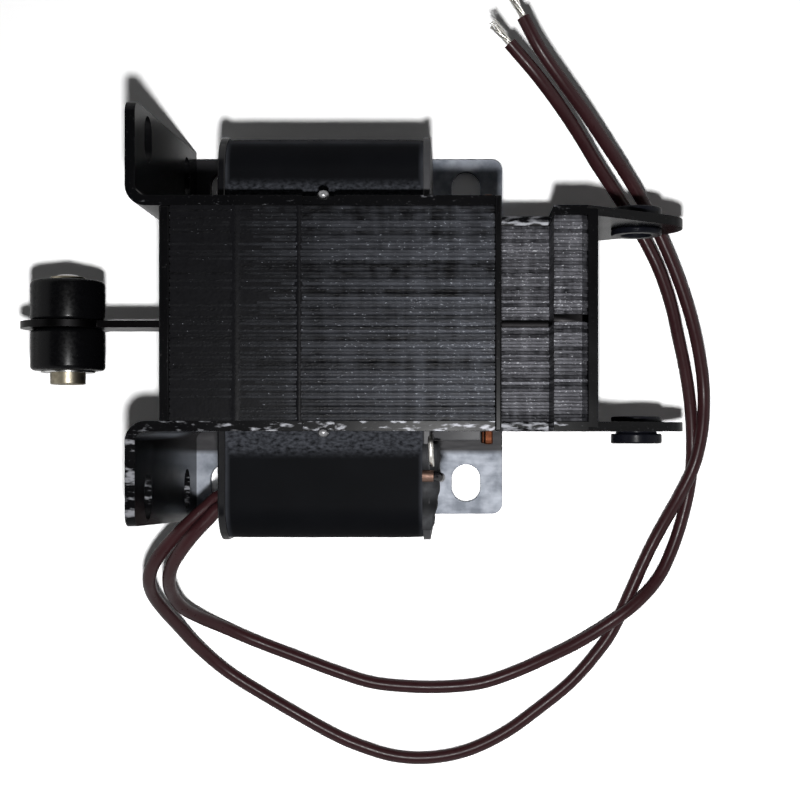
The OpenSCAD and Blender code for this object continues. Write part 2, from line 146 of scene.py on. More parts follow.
def start_material(name):
    """An empty material; returns it, its tree and its texture coordinates."""
    material = bpy.data.materials.new(name)
    material.use_nodes = True
    tree = material.node_tree
    tree.nodes.clear()
    return material, tree, add(tree, "TexCoord")


# ---- materials ----

NOISE_SPAN = {"From Min": 0.3, "From Max": 0.7}  # nearly all of a noise's values lie between these
FALL = {"To Min": 1.0, "To Max": 0.0}  # 1 before a range and 0 after it


def black_enamel(name, wear, bare_to=-1000.0):
    """Stoved black enamel on punched steel sheet: satin and dusty, with a faint orange peel 1.5 mm across.

    wear, from 0 to 1, says how much of the cut edges that face up is rubbed to bare steel. Up to the place
    bare_to along X they are rubbed more.
    """
    material, tree, coords = start_material(name)
    where = coords.outputs["Object"]
    cloud = add(tree, "TexNoise", {"Vector": where, "Scale": grain(9), "Detail": 4.0})
    peel = add(tree, "TexNoise", {"Vector": where, "Scale": grain(1.5), "Detail": 3.0})
    dust = add(tree, "TexNoise", {"Vector": where, "Scale": grain(0.35), "Detail": 2.0})
    specks = add(tree, "MapRange", {"Value": dust, "From Min": 0.66, "From Max": 0.76, "To Max": 0.35})
    black = add(tree, "Mix", {
        "Factor": cloud, "A": colour("#060607"), "B": colour("#0b0b0d")}, data_type="RGBA")
    dusty = add(tree, "Mix", {"Factor": specks, "A": black, "B": colour("#4d4c4e")}, data_type="RGBA")
    upward = add(tree, "SeparateXYZ", {"Vector": coords.outputs["Normal"]}).outputs["Z"]
    facing = add(tree, "MapRange", {"Value": upward, "From Min": 0.75, "From Max": 0.95})
    drawn = add(tree, "Mapping", {"Vector": where, "Scale": grain(0.8, 3, 1, 1)})
    rub = add(tree, "TexNoise", {"Vector": drawn, "Scale": 1.0, "Detail": 5.0})
    along = add(tree, "SeparateXYZ", {"Vector": where}).outputs["X"]
    handled = add(tree, "MapRange", {
        "Value": along, "From Min": bare_to * MM, "From Max": (bare_to + 5) * MM,
        "To Min": 0.22, "To Max": 0.0})
    rubbed = add(tree, "Math", {0: rub, 1: handled}, operation="ADD")
    first, full = 0.72 - 0.36 * wear, 0.84 - 0.36 * wear
    bare = add(tree, "MapRange", {"Value": rubbed, "From Min": first, "From Max": full})
    shown = add(tree, "Math", {0: bare, 1: facing}, operation="MULTIPLY")
    steel = add(tree, "Mix", {"Factor": rub, "A": colour("#3c3c40"), "B": colour("#8c8d92")}, data_type="RGBA")
    satin = add(tree, "MapRange", {"Value": cloud, **NOISE_SPAN, "To Min": 0.2, "To Max": 0.26})
    duller = add(tree, "Math", {0: shown, 1: 0.25}, operation="MULTIPLY")
    bsdf = add(tree, "BsdfPrincipled", {
        "Base Color": add(tree, "Mix", {"Factor": shown, "A": dusty, "B": steel}, data_type="RGBA"),
        "Metallic": add(tree, "Math", {0: shown, 1: 0.6}, operation="MULTIPLY"),
        "Roughness": add(tree, "Math", {0: satin, 1: duller}, operation="ADD"),
        "Specular IOR Level": 0.08,
        "Normal": add(tree, "Bump", {"Height": peel, "Distance": 0.004 * MM}),
    })
    add(tree, "OutputMaterial", {"Surface": bsdf})
    return material


def sheet_edges(name, dark, light, glint, metallic, rough, run_mm, fade_from, fade_to):
    """Punched edges of electrical steel sheet: each its own shade, smeared along the cut, with bare glints.

    Shear marks are run_mm long and change from sheet to sheet. Towards the push end, between two places given
    along X, the marks fade to dark: partly thick varnish over them, partly painted shade away from the lamp's
    highlight.
    """
    material, tree, coords = start_material(name)
    where = coords.outputs["Object"]
    shade = add(tree, "Attribute", attribute_name="sheet_shade").outputs["Fac"]
    flat = add(tree, "VectorMath", {0: where, 1: (grain(run_mm), 0.0, grain(run_mm))}, operation="MULTIPLY")
    own = add(tree, "CombineXYZ", {"Y": add(tree, "Math", {0: shade, 1: 60.0}, operation="MULTIPLY")})
    per_sheet = add(tree, "VectorMath", {0: flat, 1: own}, operation="ADD")
    smear = add(tree, "TexNoise", {"Vector": per_sheet, "Scale": 1.0, "Detail": 4.0})
    banded = add(tree, "Mapping", {"Vector": where, "Scale": grain(1.6, 1, 12, 1)})
    across = add(tree, "TexNoise", {"Vector": banded, "Scale": 1.0, "Detail": 3.0})
    drawn = add(tree, "Mapping", {"Vector": where, "Scale": grain(0.3, 1.6, 1, 1)})
    tear = add(tree, "TexNoise", {"Vector": drawn, "Scale": 1.0, "Detail": 2.0})
    smeared = add(tree, "MapRange", {"Value": smear, **NOISE_SPAN, "To Min": -0.15, "To Max": 0.35})
    sheet = add(tree, "Math", {0: shade, 1: 0.8, 2: -0.12}, operation="MULTIPLY_ADD")
    body = add(tree, "Math", {0: smeared, 1: sheet}, operation="ADD")
    bands = add(tree, "MapRange", {"Value": across, "From Min": 0.4, "From Max": 0.75, "To Max": 0.4})
    scuffed = add(tree, "Math", {0: body, 1: bands}, operation="ADD", use_clamp=True)
    along = add(tree, "SeparateXYZ", {"Vector": where}).outputs["X"]
    # Painted shade mixed with varnish: the marks fade to dark towards the push end
    varnish_and_shade_fade = add(tree, "MapRange", {
        "Value": along, "From Min": fade_from * MM, "From Max": fade_to * MM, "To Min": 0.05, "To Max": 1.0})
    marks = add(tree, "Math", {0: scuffed, 1: varnish_and_shade_fade}, operation="MULTIPLY")
    base = add(tree, "Mix", {"Factor": marks, "A": colour(dark), "B": colour(light)}, data_type="RGBA")
    raised = add(tree, "Math", {0: marks, 1: 0.12}, operation="MULTIPLY")
    torn = add(tree, "Math", {0: tear, 1: raised}, operation="ADD")
    bare = add(tree, "MapRange", {"Value": torn, "From Min": 0.7, "From Max": 0.8})
    bsdf = add(tree, "BsdfPrincipled", {
        "Base Color": add(tree, "Mix", {"Factor": bare, "A": base, "B": colour(glint)}, data_type="RGBA"),
        "Metallic": metallic,
        "Roughness": add(tree, "MapRange", {
            "Value": smear, **NOISE_SPAN, "To Min": rough - 0.06, "To Max": rough + 0.1}),
        "Specular IOR Level": 0.06,
        "Normal": add(tree, "Bump", {"Height": tear, "Distance": 0.05 * MM}),
    })
    add(tree, "OutputMaterial", {"Surface": bsdf})
    return material


def zinc_plate():
    """Clear passivated zinc on steel: pale, cool and cloudy, with rolling streaks along the sheet.

    Shade is painted on it as a dark colour: a band along the foot of the yoke and its side plates, and the back
    of the plate at the stop end.
    """
    material, tree, coords = start_material("zinc_plate")
    where = coords.outputs["Object"]
    rolled = add(tree, "Mapping", {"Vector": where, "Scale": grain(0.6, 6, 1, 1)})
    streak = add(tree, "TexNoise", {"Vector": rolled, "Scale": 1.0, "Detail": 4.0})
    cloud = add(tree, "TexNoise", {"Vector": where, "Scale": grain(3.5), "Detail": 5.0})
    spread = add(tree, "MapRange", {"Value": cloud, "From Min": 0.35, "From Max": 0.65})
    clear = add(tree, "Mix", {
        "Factor": spread, "A": colour("#6d737d"), "B": colour("#a1a6b0")}, data_type="RGBA")
    place = add(tree, "SeparateXYZ", {"Vector": where})
    out = add(tree, "Math", {0: place.outputs["Y"]}, operation="ABSOLUTE")
    # Painted shade: dark along the foot of the side plates, and over the back corner at the stop end
    foot = add(tree, "MapRange", {"Value": out, "From Min": 21.8 * MM, "From Max": 22.8 * MM, **FALL})
    back = add(tree, "MapRange", {"Value": place.outputs["Y"], "From Min": 0.0, "From Max": 1 * MM})
    stop_end = add(tree, "MapRange", {
        "Value": place.outputs["X"], "From Min": -20 * MM, "From Max": -17 * MM, **FALL})
    corner = add(tree, "Math", {0: back, 1: stop_end}, operation="MULTIPLY")
    painted_shade = add(tree, "Math", {0: foot, 1: corner}, operation="MAXIMUM")
    bsdf = add(tree, "BsdfPrincipled", {
        "Base Color": add(tree, "Mix", {
            "Factor": painted_shade, "A": clear, "B": colour("#17161a")}, data_type="RGBA"),
        "Metallic": 0.2,
        "Roughness": add(tree, "MapRange", {"Value": streak, **NOISE_SPAN, "To Min": 0.46, "To Max": 0.54}),
        "Specular IOR Level": 0.3,
        "Normal": add(tree, "Bump", {"Height": streak, "Distance": 0.003 * MM}),
    })
    add(tree, "OutputMaterial", {"Surface": bsdf})
    return material


def metal(name, dull, bright, patch_mm, rough, spread):
    """Handled metal: its colour and gloss drift between dull and bright in patches patch_mm across.

    A bright patch has the roughness rough, and a dull one is rougher by spread.
    """
    material, tree, coords = start_material(name)
    patch = add(tree, "TexNoise", {"Vector": coords.outputs["Object"], "Scale": grain(patch_mm), "Detail": 4.0})
    bsdf = add(tree, "BsdfPrincipled", {
        "Base Color": add(tree, "Mix", {
            "Factor": patch, "A": colour(dull), "B": colour(bright)}, data_type="RGBA"),
        "Metallic": 1.0,
        "Roughness": add(tree, "MapRange", {
            "Value": patch, **NOISE_SPAN, "To Min": rough + spread, "To Max": rough}),
        "Normal": add(tree, "Bump", {"Height": patch, "Distance": 0.01 * MM}),
    })
    add(tree, "OutputMaterial", {"Surface": bsdf})
    return material


def plastic(name, dark, light, patch_mm, grain_mm, rough, level, depth_mm):
    """Moulded, extruded or dipped plastic: its colour clouds over patch_mm.

    Its skin has grains grain_mm across and depth_mm deep, which also carry its roughness. level is how strongly
    it shines.
    """
    material, tree, coords = start_material(name)
    where = coords.outputs["Object"]
    cloud = add(tree, "TexNoise", {"Vector": where, "Scale": grain(patch_mm), "Detail": 3.0})
    skin = add(tree, "TexNoise", {"Vector": where, "Scale": grain(grain_mm), "Detail": 2.0})
    bsdf = add(tree, "BsdfPrincipled", {
        "Base Color": add(tree, "Mix", {
            "Factor": cloud, "A": colour(dark), "B": colour(light)}, data_type="RGBA"),
        "Roughness": add(tree, "MapRange", {
            "Value": skin, **NOISE_SPAN, "To Min": rough - 0.05, "To Max": rough + 0.07}),
        "Specular IOR Level": level,
        "Normal": add(tree, "Bump", {"Height": skin, "Distance": depth_mm * MM}),
    })
    add(tree, "OutputMaterial", {"Surface": bsdf})
    return material


def bobbin_nylon():
    """Moulded nylon: grey and half dull where it is bare, black and glossy where varnish has run over it."""
    material, tree, coords = start_material("bobbin_nylon")
    where = coords.outputs["Object"]
    cloud = add(tree, "TexNoise", {"Vector": where, "Scale": grain(3), "Detail": 4.0})
    along = add(tree, "SeparateXYZ", {"Vector": where}).outputs["X"]
    bare = add(tree, "MapRange", {"Value": along, "From Min": -10 * MM, "From Max": 15 * MM})
    grey = add(tree, "Mix", {"Factor": cloud, "A": colour("#303033"), "B": colour("#4a4a4c")}, data_type="RGBA")
    bsdf = add(tree, "BsdfPrincipled", {
        "Base Color": add(tree, "Mix", {"Factor": bare, "A": colour("#0d0d10"), "B": grey}, data_type="RGBA"),
        "Roughness": add(tree, "MapRange", {"Value": bare, "To Min": 0.22, "To Max": 0.45}),
        "Specular IOR Level": 0.25,
        "Normal": add(tree, "Bump", {"Height": cloud, "Distance": 0.03 * MM}),
    })
    add(tree, "OutputMaterial", {"Surface": bsdf})
    return material


def wrapping_tape():
    """Black polyester tape: a dull film, wrinkled. Beside the side plates it is dusty grey, and that grey is
    partly painted sheen of its flat top. Its rims are lightened grey as a painted highlight.
    """
    material, tree, coords = start_material("wrapping_tape")
    where = coords.outputs["Object"]
    cloud = add(tree, "TexNoise", {"Vector": where, "Scale": grain(6), "Detail": 4.0})
    drawn = add(tree, "Mapping", {"Vector": where, "Scale": grain(0.5, 1.6, 1, 1)})
    fold = add(tree, "TexNoise", {"Vector": drawn, "Scale": 1.0, "Detail": 5.0})
    out = add(tree, "Math", {0: add(tree, "SeparateXYZ", {"Vector": where}).outputs["Y"]}, operation="ABSOLUTE")
    # Painted sheen mixed with dust: a grey band on the flat top beside the side plates
    beside = add(tree, "MapRange", {
        "Value": out, "From Min": 20.6 * MM, "From Max": 23.0 * MM, **FALL}, interpolation_type="SMOOTHSTEP")
    settled = add(tree, "MapRange", {"Value": fold, "From Min": 0.28, "From Max": 0.7})
    # Painted highlight: the wrap's rims are lightened grey
    rim = add(tree, "Attribute", attribute_name="rim_wear").outputs["Fac"]
    dust = add(tree, "Math", {0: beside, 1: settled}, operation="MULTIPLY")
    rim_highlight_patch = add(tree, "Math", {0: rim, 1: cloud}, operation="MULTIPLY")
    grey = add(tree, "Math", {0: dust, 1: rim_highlight_patch}, operation="MAXIMUM")
    black = add(tree, "Mix", {
        "Factor": cloud, "A": colour("#07080a"), "B": colour("#0d0e11")}, data_type="RGBA")
    bsdf = add(tree, "BsdfPrincipled", {
        "Base Color": add(tree, "Mix", {"Factor": grey, "A": black, "B": colour("#46484e")}, data_type="RGBA"),
        "Roughness": add(tree, "MapRange", {"Value": beside, "To Min": 0.6, "To Max": 0.7}),
        "Specular IOR Level": 0.03,
        "Normal": add(tree, "Bump", {"Height": fold, "Strength": beside, "Distance": 0.08 * MM}),
    })
    add(tree, "OutputMaterial", {"Surface": bsdf})
    return material


def glass_cloth():
    """Woven glass cloth tape, grey with age: ribs 0.8 mm apart, coarser than real threads so that they show."""
    material, tree, coords = start_material("glass_cloth_tape")
    where = coords.outputs["Object"]
    rib = add(tree, "TexWave", {
        "Vector": where, "Scale": grain(0.8) / 20, "Distortion": 0.6}, bands_direction="Y")
    cloud = add(tree, "TexNoise", {"Vector": where, "Scale": grain(1.4), "Detail": 4.0})
    shade = add(tree, "Math", {0: rib, 1: cloud}, operation="MULTIPLY")
    aged = add(tree, "Mix", {"Factor": shade, "A": colour("#0e0f11"), "B": colour("#515255")}, data_type="RGBA")
    bsdf = add(tree, "BsdfPrincipled", {
        "Base Color": aged,
        "Roughness": 0.7,
        "Specular IOR Level": 0.15,
        "Normal": add(tree, "Bump", {"Height": rib, "Distance": 0.08 * MM}),
    })
    add(tree, "OutputMaterial", {"Surface": bsdf})
    return material


# Stop plate and pole plates: unworn satin black
ENAMEL = black_enamel("stoved_enamel", 0.0)
# Side plates: the front one's upper edge is chipped to bright flecks, the back one's only here and there; the
# front's extra flecks are partly painted highlight, as that edge lies nearer the lamp's reflection
SIDE_ENAMEL = {"back": black_enamel("side_enamel_back", 0.2), "front": black_enamel("side_enamel_front", 0.55)}
# Clevis plates: rubbed grey on top where they are gripped, along the stem and the head's root
CLEVIS_ENAMEL = black_enamel("clevis_enamel", 0.1, 36.9)
# Punched and dipped: nearly black at the push end, bare grey lines at the pull end; the darkening towards the
# push end is partly varnish, partly painted shade
YOKE_EDGES = sheet_edges("varnished_sheet_edges", "#09090b", "#4a4c52", "#85888f", 0.05, 0.38, 2.6, -16, 24)
# Punched and ground, not dipped: an even bright grey with short dark marks
PLUNGER_EDGES = sheet_edges("ground_sheet_edges", "#17171a", "#5e5e63", "#a4a5aa", 0.25, 0.4, 1.3, -99, -98)
# Rolled and electroplated
ZINC = zinc_plate()
# Turned steel rivet heads and screws: grey, soft highlights
STEEL = metal("turned_steel", "#6c6c6e", "#a2a2a4", 0.5, 0.35, 0.15)
# Rolled steel bar with its mill scale on: almost black, with a dull metal shine
BAR_STEEL = metal("rolled_steel", "#0a0a0a", "#1c1b1c", 2.0, 0.3, 0.06)
# Drawn copper, tarnished brown, with a dull red shine
COPPER = metal("drawn_copper", "#1f110b", "#55301f", 1.2, 0.45, 0.15)
# Nickel plate: white and bright, with clear highlights
NICKEL = metal("nickel_plate", "#9c9c9d", "#e4e4e2", 1.0, 0.18, 0.12)
# Turned and yellow passivated steel: brassy grey, half dull
PIN_METAL = metal("yellow_passivated_steel", "#665d49", "#aaa494", 1.0, 0.36, 0.15)
# Hot tinned wire: silvery, a little uneven
TINNED = metal("tinned_wire", "#a9a6a0", "#e6e4df", 0.8, 0.24, 0.15)
# Pressed bobbin, part varnished
NYLON = bobbin_nylon()
# Pressed and tinned copper crimp: pinkish tan, dull
CRIMP = metal("crimp_copper", "#54423a", "#94796c", 1.0, 0.5, 0.15)
# Moulded nylon bush: blue-black and smooth
BUSH_NYLON = plastic("bush_nylon", "#0e0f14", "#15161d", 4, 0.3, 0.3, 0.08, 0.006)
# Moulded rubber: black, with one soft highlight along a roller
RUBBER = plastic("moulded_rubber", "#050506", "#09090b", 2.5, 0.6, 0.26, 0.1, 0.002)
# Extruded PVC: dark brown-red, with a thin bright line along each lead
PVC = plastic("extruded_pvc", "#2c1517", "#3c2124", 4, 0.7, 0.32, 0.2, 0.006)
# Braided sleeve filled with varnish: black and wet-looking
SLEEVE = plastic("varnished_sleeve", "#0e0e10", "#1a1a1c", 1.5, 0.4, 0.22, 0.5, 0.01)
# Crepe paper pad: brownish grey, wrinkled and matt
PAD = plastic("crepe_paper", "#2b2a27", "#3a3934", 2, 0.4, 0.7, 0.3, 0.06)
# Slit film, wound by hand
TAPE = wrapping_tape()
# Woven and folded by hand
CLOTH = glass_cloth()
# Dried dipping varnish: black, satin, with small runs
VARNISH = plastic("dipping_varnish", "#070709", "#121215", 1.2, 0.5, 0.4, 0.05, 0.02)

# ---- mesh helpers ----


def make_piece(name, points, faces, material, body, slot, smooth_deg=40, **marks):
    """A piece from points in millimetres, with point attributes; edges sharper than smooth_deg stay crisp."""
    mesh = bpy.data.meshes.new(name)
    mesh.from_pydata((np.asarray(points) * MM).tolist(), [], faces)
    for key, values in marks.items():
        mesh.attributes.new(key, "FLOAT", "POINT").data.foreach_set("value", values)
    mesh.materials.append(material)
    return finish_piece(name, mesh, body, smooth_deg)


def finish_piece(name, mesh, body, smooth_deg):
    """Merges doubles, turns the faces outwards, links the piece and lets it ride on its body."""
    work = bmesh.new()
    work.from_mesh(mesh)
    bmesh.ops.remove_doubles(work, verts=work.verts, dist=1e-7)
    bmesh.ops.recalc_face_normals(work, faces=work.faces)
    work.to_mesh(mesh)
    work.free()
    mesh.shade_smooth()
    mesh.set_sharp_from_angle(angle=math.radians(smooth_deg))
    piece = bpy.data.objects.new(name, mesh)
    bpy.context.scene.collection.objects.link(piece)
    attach(piece, body)
    return piece


def softened(node, material, body, width_mm=0.22):
    """The frame's own shape with its loose triangles merged and its edges rounded to width_mm."""
    mesh = nodes[node].data.copy()
    work = bmesh.new()
    work.from_mesh(mesh)
    bmesh.ops.remove_doubles(work, verts=work.verts, dist=2e-6)
    bmesh.ops.dissolve_limit(work, angle_limit=math.radians(1), verts=work.verts, edges=work.edges)
    work.to_mesh(mesh)
    work.free()
    mesh.materials.clear()
    mesh.materials.append(material)
    piece = finish_piece(node + "_soft", mesh, body, 35)
    bevel = piece.modifiers.new("edge", "BEVEL")
    bevel.width = width_mm * MM
    bevel.segments = 2
    bevel.limit_method = "ANGLE"
    bevel.angle_limit = math.radians(40)
    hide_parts(node)


def loft(count, size, closed_along=False):
    """Quads between successive rings, count of them with size points each; every ring closes on itself."""
    rows = np.arange(count if closed_along else count - 1)[:, None]
    cols = np.arange(size)[None, :]
    a = rows * size + cols
    b = rows * size + (cols + 1) % size
    c = ((rows + 1) % count) * size + (cols + 1) % size
    d = ((rows + 1) % count) * size + cols
    return np.stack([a, b, c, d], axis=-1).reshape(-1, 4)


def inset(outline, by):
    """A closed counter-clockwise outline moved inwards: each corner goes along its two edges' mean normal."""
    ahead = np.roll(outline, -1, axis=0) - outline
    ahead /= np.linalg.norm(ahead, axis=1, keepdims=True)
    normal = np.stack([-ahead[:, 1], ahead[:, 0]], axis=1)
    before = np.roll(normal, 1, axis=0)
    reach = 1 + np.sum(normal * before, axis=1, keepdims=True)
    return outline + by * (normal + before) / reach


def sheet_stack(name, outline, y_from, y_to, count, loose, groove, seam, material, body, slot):
    """Sheets side by side across Y, each the outline in X and Z with its own small inset and shade.

    loose is the usual inset. The rims where two pairs meet are cut back by groove, and those inside a pair by
    seam.
    """
    size = len(outline)
    pitch = (y_to - y_from) / count
    points, faces, shades = [], [], []
    for i in range(count):
        back = inset(outline, abs(rng.normal(0, loose)))
        near, far = (groove, seam) if i % 2 == 0 else (seam, groove)
        y0 = y_from + i * pitch
        for y, cut in [(y0, near), (y0 + near, 0), (y0 + pitch - far, 0), (y0 + pitch, far)]:
            flat = inset(back, cut)
            points.append(np.column_stack([flat[:, 0], np.full(size, y), flat[:, 1]]))
        start = 4 * size * i
        faces += (loft(4, size) + start).tolist()
        faces.append(list(range(start, start + size))[::-1])
        faces.append(list(range(start + 3 * size, start + 4 * size)))
        shades.append(np.full(4 * size, rng.uniform(0, 1)))
    return make_piece(
        name, np.concatenate(points), faces, material, body, slot, 30, sheet_shade=np.concatenate(shades))


def turned(name, profile, x, z, material, body, slot, sides=64):
    """A turned shape about an axis along Y, from (radius, y) pairs.

    A profile that never reaches the axis is closed into a ring.
    """
    profile = np.asarray(profile, float)
    turn = np.linspace(0, 2 * np.pi, sides, endpoint=False)
    radius, along = profile[:, 0][:, None], profile[:, 1][:, None]
    points = np.stack([x + radius * np.cos(turn), along + 0 * turn, z + radius * np.sin(turn)], axis=-1)
    whole = profile[0, 0] > 0 or profile[-1, 0] > 0
    faces = loft(len(profile), sides, whole).tolist()
    return make_piece(name, points.reshape(-1, 3), faces, material, body, slot)


def rounded(corners, radius, steps=5, closed=False):
    """A polyline with each inner corner replaced by a parabola that starts radius before the corner."""
    corners = np.asarray(corners, float)
    out = [] if closed else [corners[0]]
    span = range(len(corners)) if closed else range(1, len(corners) - 1)
    t = np.linspace(0, 1, steps)[:, None]
    for i in span:
        p, a, b = corners[i], corners[i - 1], corners[(i + 1) % len(corners)]
        la, lb = np.linalg.norm(a - p), np.linalg.norm(b - p)
        r = min(radius, 0.45 * la, 0.45 * lb)
        start, end = p + (a - p) / la * r, p + (b - p) / lb * r
        out.extend((1 - t) ** 2 * start + 2 * t * (1 - t) * p + t**2 * end)
    if not closed:
        out.append(corners[-1])
    return np.array(out)


def smooth_route(route, per_span=6):
    """A Catmull-Rom curve through the route's points."""
    route = np.asarray(route, float)
    padded = np.vstack([2 * route[0] - route[1], route, 2 * route[-1] - route[-2]])
    t = np.linspace(0, 1, per_span, endpoint=False)[:, None]
    spans = [
        0.5 * ((2 * b) + (c - a) * t + (2 * a - 5 * b + 4 * c - d) * t**2 + (3 * b - a - 3 * c + d) * t**3)
        for a, b, c, d in zip(padded, padded[1:], padded[2:], padded[3:])
    ]
    return np.vstack(spans + [route[-1:]])


def tube(name, line, radius, material, body, slot, sides=16):
    """A round rod along a line: rings square to the line's direction, closed at both ends by flat caps."""
    line = np.asarray(line, float)
    ahead = np.gradient(line, axis=0)
    ahead /= np.linalg.norm(ahead, axis=1, keepdims=True)
    side = np.cross(ahead, (0.1, 0.2, 1.0))
    side /= np.linalg.norm(side, axis=1, keepdims=True)
    up = np.cross(side, ahead)
    turn = np.linspace(0, 2 * np.pi, sides, endpoint=False)[None, :, None]
    rings = line[:, None] + radius * (np.cos(turn) * side[:, None] + np.sin(turn) * up[:, None])
    last = (len(line) - 1) * sides
    faces = loft(len(line), sides).tolist()
    faces += [list(range(sides))[::-1], list(range(last, last + sides))]
    return make_piece(name, rings.reshape(-1, 3), faces, material, body, slot)


# ---- leads ----

LEAD_D = 2.4
STRAND_LENGTH = 5
STRAND_R = 0.19
LEAD_X0 = tape_low[0]  # both leads leave the coil's stop end
INNER_ROUTE = [
    (LEAD_X0, -31.3, 28.7), (-19.9, -31.8, 28.7), (-21.6, -33.4, 28.6), (-24.1, -36, 28.4),
    (-26.6, -39, 27.5), (-28.8, -42.2, 25.2), (-30.1, -45.4, 21), (-30.3, -48.4, 16),
    (-29.2, -51.3, 11.5), (-26.8, -53.6, 7), (-23, -56, 3.2), (-17, -58.9, 1.4),
    (-10, -61.6, 1.2), (-2, -64.6, 1.2), (5, -66.8, 1.2), (12, -67.6, 1.2),
    (19, -67.7, 1.2), (26, -67, 1.2), (32.5, -64.9, 1.2), (39, -61.9, 1.9),
    (45, -58.7, 3.1), (51.5, -54.5, 4), (56.6, -50.6, 3.4), (60.6, -46.2, 1.8),
    (63.4, -40.4, 1.2), (65.4, -34, 1.2), (66.7, -27.5, 1.2), (67, -20.5, 1.4),
    (66.5, -13.5, 2.3), (65.3, -6.8, 3.7), (63.7, -0.5, 5.3), (61.9, 6, 7.1),
    (59.2, 12.8, 8.7), (55.6, 19.4, 9.6), (51.6, 25.4, 10.7), (47.5, 30.8, 13.1),
    (43.7, 35.8, 16.6), (39.9, 40.4, 19.9), (35.6, 45.2, 22.7), (30.8, 50.4, 24),
]
OUTER_ROUTE = [
    (LEAD_X0, -29.1, 26.6), (-20, -29.7, 26.6), (-22.4, -31.6, 26.4), (-25.4, -34.3, 26.4),
    (-28.8, -37.7, 26.1), (-31.7, -41.2, 25), (-33.4, -44.4, 22), (-33.9, -47.6, 17.4),
    (-33, -50.9, 12.9), (-31, -54.8, 8.2), (-28.4, -59, 4.2), (-24, -63.6, 1.8),
    (-18, -67.8, 1.2), (-4, -75.9, 1.2), (3, -79.1, 1.2), (10, -81.1, 1.2),
    (17, -81.3, 1.2), (24, -79.8, 1.2), (31, -76.4, 1.2), (37.5, -71.7, 1.2),
    (43.5, -66.8, 1.2), (48.4, -61.3, 1.2), (52.2, -55.6, 1.2), (58, -42.8, 1.2),
    (61, -36.8, 1.7), (64.2, -30.8, 3.1), (67, -24.6, 4), (68.5, -17.8, 4),
    (68.8, -10.8, 3.8), (67.8, -4, 5), (66, 2.8, 6.6), (63.5, 9.8, 8),
    (60.4, 16.8, 9.2), (56.9, 23.4, 10.3), (52.9, 29.2, 12.5), (48.6, 34.6, 15.6),
    (44.3, 39.8, 18.8), (40.1, 44.6, 21.5), (36.2, 49.6, 23.3), (33.2, 55, 24),
]


def twisted_strands(name, node, route):
    """Seven fine wires straight on from a route's end: six wind round a middle one and fan out a little."""
    start, before = np.array(route[-1], float), np.array(route[-2], float)
    axis = (start - before) / np.linalg.norm(start - before)
    side = np.cross(axis, (0, 0, 1))
    side /= np.linalg.norm(side)
    up = np.cross(side, axis)
    steps, corners = 16, 8
    s = np.linspace(0, 1, steps)[:, None]
    turn = np.linspace(0, 2 * np.pi, corners, endpoint=False)[:, None]
    ring = STRAND_R * (np.cos(turn) * side + np.sin(turn) * up)
    points, faces = [], []
    for k in range(7):
        reach = (0 if k == 0 else 0.4) * (1 + 0.9 * s**2)
        angle = k * np.pi / 3 + 2.2 * s
        length = STRAND_LENGTH * (1 - 0.16 * rng.random())
        line = start + axis * (s * length) + side * (reach * np.cos(angle)) + up * (reach * np.sin(angle))
        points.append((line[:, None, :] + ring[None, :, :]).reshape(-1, 3))
        first = k * steps * corners
        last = first + (steps - 1) * corners
        faces += (loft(steps, corners) + first).tolist()
        faces += [list(range(first, first + corners))[::-1], list(range(last, last + corners))]
    piece = make_piece(name, np.concatenate(points), faces, TINNED, "frame", "tinned_strands", 60)
    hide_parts(node)
    return piece


def lead(name, node, route):
    """An insulated lead as a round curve along its route. Its bare strands are a piece of their own."""
    line = smooth_route(route)
    data = bpy.data.curves.new(name, "CURVE")
    data.dimensions = "3D"
    data.bevel_depth = LEAD_D / 2 * MM
    data.bevel_resolution = 5
    data.use_fill_caps = True
    spline = data.splines.new("POLY")
    spline.points.add(len(line) - 1)
    spline.points.foreach_set("co", np.column_stack([line * MM, np.ones(len(line))]).ravel())
    spline.use_smooth = True
    data.materials.append(PVC)
    piece = bpy.data.objects.new(name, data)
    bpy.context.scene.collection.objects.link(piece)
    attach(piece, "frame")
    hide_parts(node)


for end, route in (("inner", INNER_ROUTE), ("outer", OUTER_ROUTE)):
    wires = twisted_strands(f"strands_{end}_wires", "strands_" + end, route)
    lead(f"lead_{end}_wire", "lead_" + end, route)

# ---- laminations ----

SHEETS = 28  # in one half of the yoke, and of the plunger
STEM_HALF = 5  # half the height of the plunger's stem and of the fixed core
CORE_LENGTH = 5.6
BACK_WALL = 5.8  # the yoke's wall at the stop end
POLE_LENGTH = 10
LIMB = 8.5  # the yoke above and below the coil window
GROOVE = 1.4  # for a leg of a shading ring, in the pole face
BAR_CHANNEL = 5.3  # half the height that the centre sheets leave the push bar
HEAD_LENGTH = 5.6
HEAD_CHAMFER = 1


def yoke_outlines():
    """Outlines in X and Z, counter-clockwise: a whole yoke sheet, and the upper and lower centre sheets.

    The upper half is worked out from the axis up and the lower half is its mirror image, run backwards.
    """
    x0, x1 = yoke_low[0], yoke_high[0]
    half = yoke_high[2] - AXIS_Z
    wall, pole, window = x0 + BACK_WALL, x1 - POLE_LENGTH, half - LIMB
    gap = opening_low[2] - AXIS_Z
    face = [(x1, gap)]
    for leg in (ring_low[2] - AXIS_Z, ring_high[2] - AXIS_Z - GROOVE):
        face += [(x1, leg), (x1 - GROOVE, leg), (x1 - GROOVE, leg + GROOVE), (x1, leg + GROOVE)]
    outside = np.array(face + [(x1, half), (x0, half)])
    inside = np.array([(wall, window), (pole, window), (pole, gap)])
    core = np.array([(wall + CORE_LENGTH, STEM_HALF), (wall, STEM_HALF)])
    channel = np.array([(x0, BAR_CHANNEL), (wall, BAR_CHANNEL)])
    down = np.array([1, -1])
    window_side = np.concatenate([core, inside])
    whole = np.concatenate([outside, (outside * down)[::-1], (window_side * down)[::-1], window_side])
    upper = np.concatenate([outside, channel, inside])
    lower = (upper * down)[::-1]
    return [outline + [0, AXIS_Z] for outline in (whole, upper, lower)]


